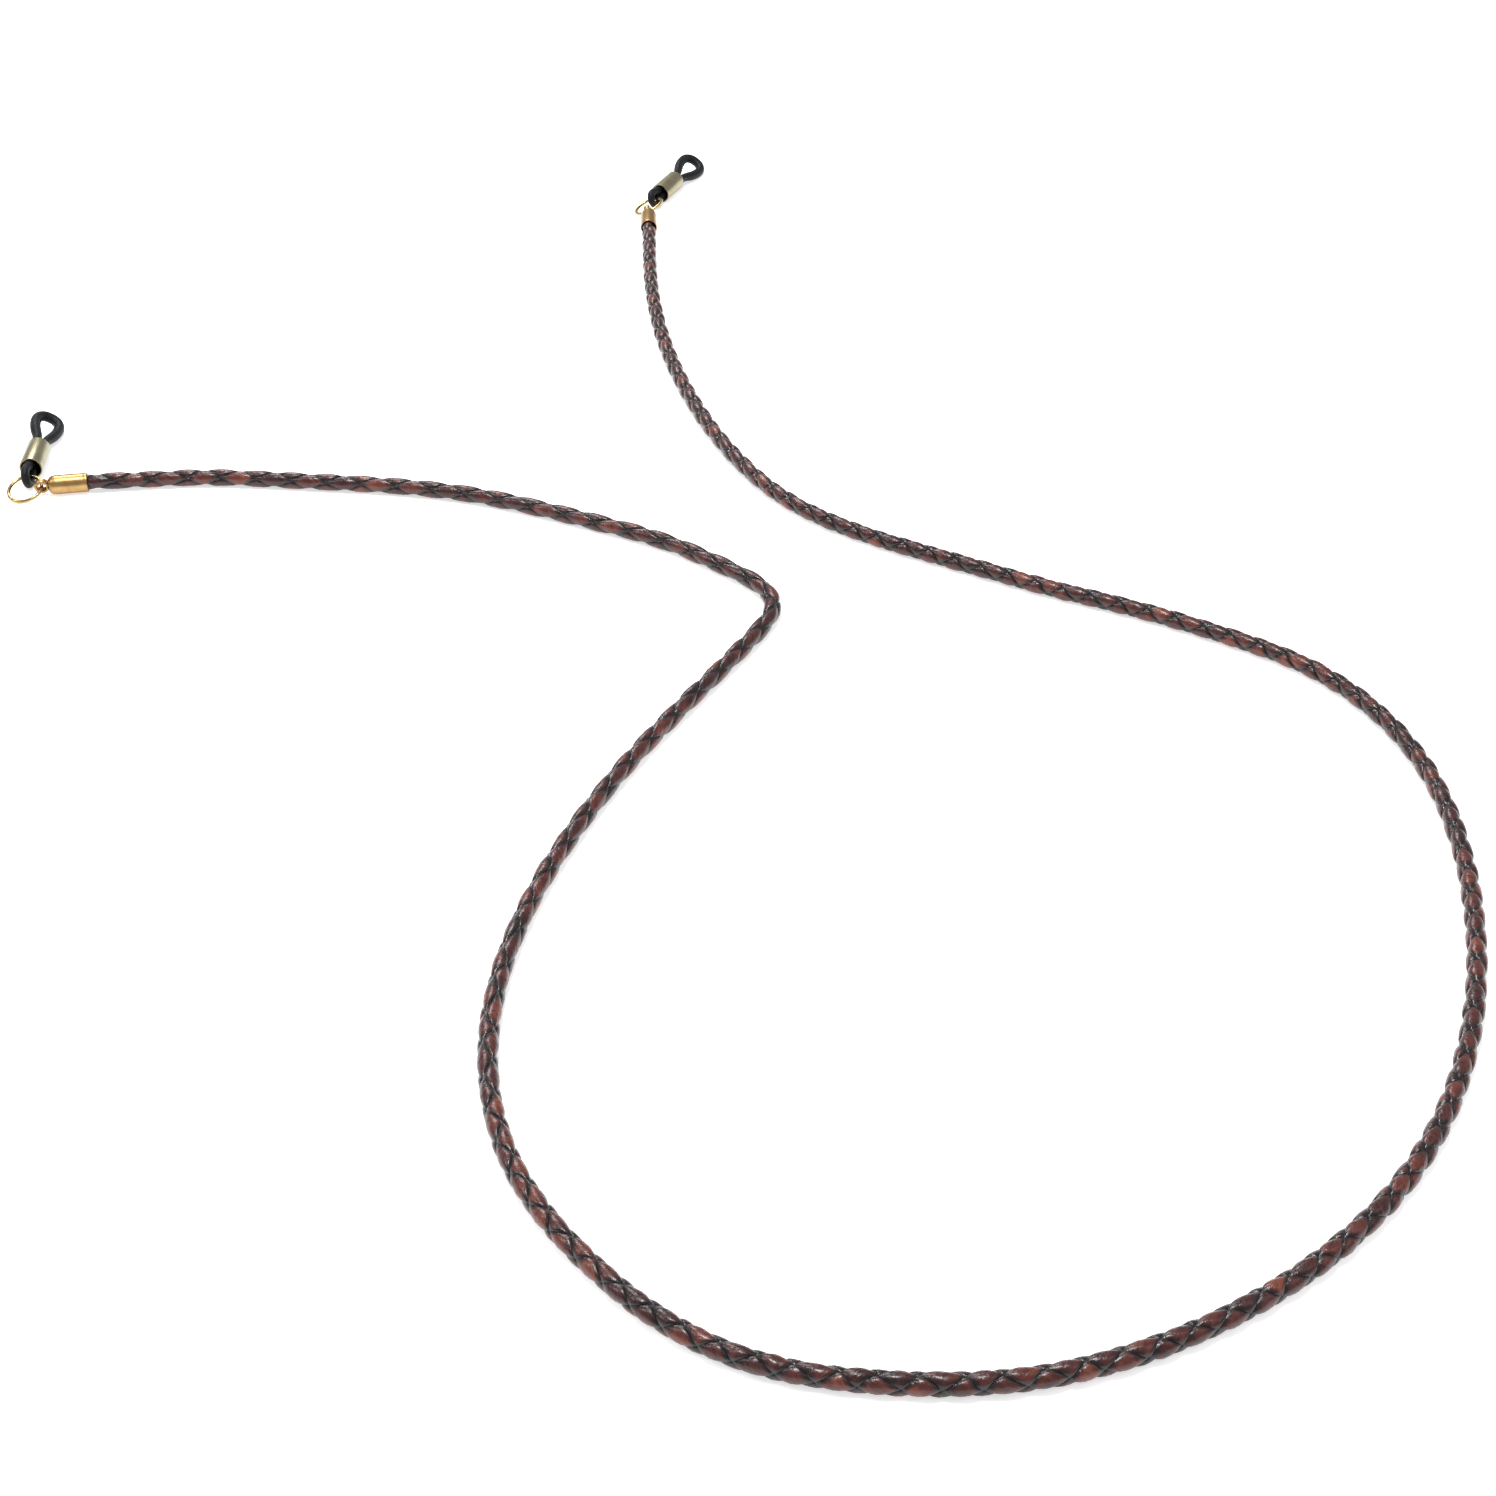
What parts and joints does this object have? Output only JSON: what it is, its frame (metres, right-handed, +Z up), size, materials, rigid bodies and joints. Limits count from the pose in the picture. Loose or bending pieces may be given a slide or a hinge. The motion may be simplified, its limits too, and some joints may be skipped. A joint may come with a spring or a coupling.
{
  "type": "eyeglasses strap",
  "caption": "Round braided leather strap for eyeglasses; each end has a brass cap, a jump ring and a rubber temple loop drawn tight by a brass sleeve.",
  "frame": {"origin": "on the surface that the strap lies on, midway between the fittings at its two ends: the bottom centre of the bounding box of everything but the cord", "axes": "+X from the left end's fittings to the right end's, +Z up from that surface; the cord's loop lies towards -Y"},
  "size_m": [0.2402, 0.2923, 0.0042],
  "materials": {
    "cord_leather": "waxed antique reddish brown with near-black edges",
    "cap_brass": "polished yellow gold tone",
    "ring_brass": "polished pale gold tone",
    "sleeve_brass": "satin, pale antique",
    "loop_rubber": "satin black"
  },
  "bodies": {
    "strap": {"braided_cord": "cord_leather", "end_cap_left": "cap_brass", "end_cap_right": "cap_brass"},
    "ring_left": {"jump_ring_left": "ring_brass"},
    "loop_left": {"temple_loop_left": "loop_rubber"},
    "sleeve_left": {"loop_sleeve_left": "sleeve_brass"},
    "ring_right": {"jump_ring_right": "ring_brass"},
    "loop_right": {"temple_loop_right": "loop_rubber"},
    "sleeve_right": {"loop_sleeve_right": "sleeve_brass"}
  },
  "joints": [
    {"name": "ring_swing_left", "type": "hinge", "parent": "strap", "child": "ring_left", "pos_m": [-0.08895, -0.00746, 0.00175], "axis": [0.5765, 0.7776, 0.251], "range_deg": [-90, 90]},
    {"name": "loop_swing_left", "type": "hinge", "parent": "ring_left", "child": "loop_left", "pos_m": [-0.08928, -0.0034, 0.0021], "axis": [-0.6979, 0.7055, -0.1232], "range_deg": [-90, 90]},
    {"name": "sleeve_slide_left", "type": "slide", "parent": "loop_left", "child": "sleeve_left", "axis": [0.6924, 0.7215, 0], "range_m": [0, 0.0025]},
    {"name": "ring_swing_right", "type": "hinge", "parent": "strap", "child": "ring_right", "pos_m": [0.06822, -0.0031, 0.00175], "axis": [0.6544, -0.634, 0.4121], "range_deg": [-90, 90]},
    {"name": "loop_swing_right", "type": "hinge", "parent": "ring_right", "child": "loop_right", "pos_m": [0.07322, 0.00019, 0.0021], "axis": [-0.2855, 0.8771, -0.3863], "range_deg": [-90, 90]},
    {"name": "sleeve_slide_right", "type": "slide", "parent": "loop_right", "child": "sleeve_right", "axis": [0.9386, 0.345, 0], "range_m": [0, 0.0025]}
  ]
}
